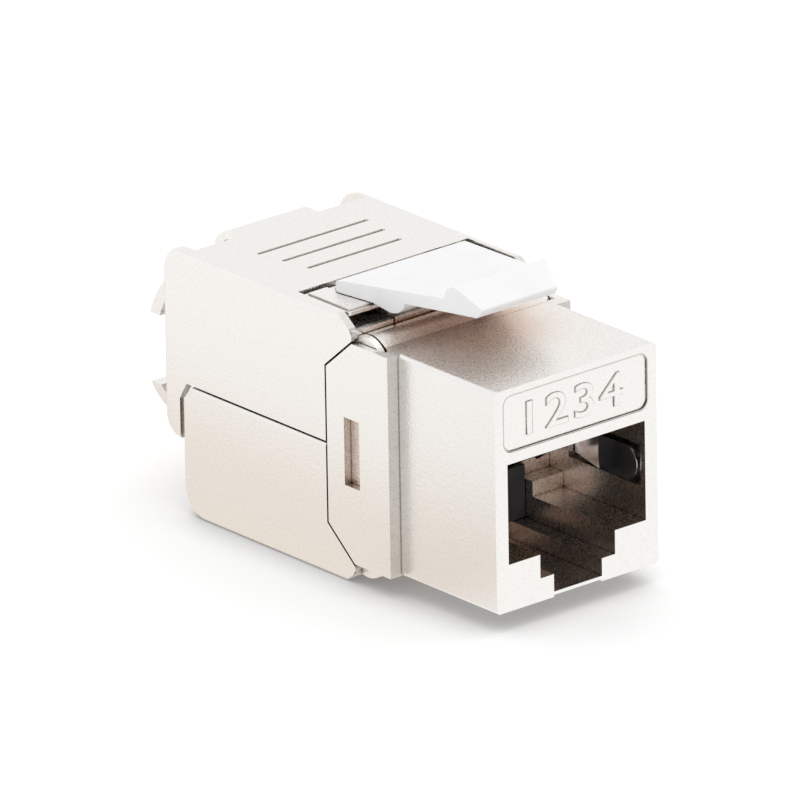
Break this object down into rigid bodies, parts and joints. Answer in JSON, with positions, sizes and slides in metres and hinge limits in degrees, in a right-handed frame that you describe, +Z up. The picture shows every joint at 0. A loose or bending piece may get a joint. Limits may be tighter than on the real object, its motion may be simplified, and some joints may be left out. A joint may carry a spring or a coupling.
{
  "type": "keystone jack",
  "caption": "Shielded tool-less keystone jack: metal nose with a modular socket, white release latch and hinged covers that clamp the cable.",
  "frame": {"origin": "centre of the jack's width and length, on the plane of the lower cover's underside", "axes": "-Y out of the front face, +Y towards the cable, +Z up through the release latch, X across the width"},
  "size_m": [0.0164, 0.039, 0.0223],
  "materials": {
    "nickel_casting": "satin nickel plating on a zinc casting",
    "white_plastic": "smooth moulded",
    "black_plastic": "moulded",
    "grey_plastic": "moulded",
    "natural_plastic": "moulded",
    "board": "solder mask",
    "spring_steel": "polished strip",
    "gold_wire": "gold plated",
    "tin_bronze": "tin plated"
  },
  "bodies": {
    "housing": {"front_housing": "nickel_casting", "contact_carrier": "black_plastic", "circuit_board": "board", "terminal_block": "grey_plastic", "wire_manager": "natural_plastic", "shield_spring_left": "spring_steel", "shield_spring_right": "spring_steel", "spring_contact_1": "gold_wire", "spring_contact_2": "gold_wire", "spring_contact_3": "gold_wire", "spring_contact_4": "gold_wire", "spring_contact_5": "gold_wire", "spring_contact_6": "gold_wire", "spring_contact_7": "gold_wire", "spring_contact_8": "gold_wire", "idc_terminal_1": "tin_bronze", "idc_terminal_2": "tin_bronze", "idc_terminal_3": "tin_bronze", "idc_terminal_4": "tin_bronze", "idc_terminal_5": "tin_bronze", "idc_terminal_6": "tin_bronze", "idc_terminal_7": "tin_bronze", "idc_terminal_8": "tin_bronze"},
    "upper_cover": {"upper_cover": "nickel_casting"},
    "lower_cover": {"lower_cover": "nickel_casting"},
    "latch": {"release_latch": "white_plastic"}
  },
  "joints": [
    {"name": "upper_cover_hinge", "type": "hinge", "parent": "housing", "child": "upper_cover", "pos_m": [0, -0.00643, 0.01613], "axis": [1, 0, 0], "range_deg": [0, 55]},
    {"name": "lower_cover_hinge", "type": "hinge", "parent": "housing", "child": "lower_cover", "pos_m": [0, -0.00643, 0.0025], "axis": [1, 0, 0], "range_deg": [-55, 0]},
    {"name": "latch_flex", "type": "hinge", "parent": "housing", "child": "latch", "pos_m": [0, -0.00553, 0.0189], "axis": [1, 0, 0], "range_deg": [0, 14.5], "stiffness_Nm_per_rad": 0.15}
  ],
  "couplings": [
    {"joint": "lower_cover_hinge", "follows": "upper_cover_hinge", "ratio": -1}
  ]
}
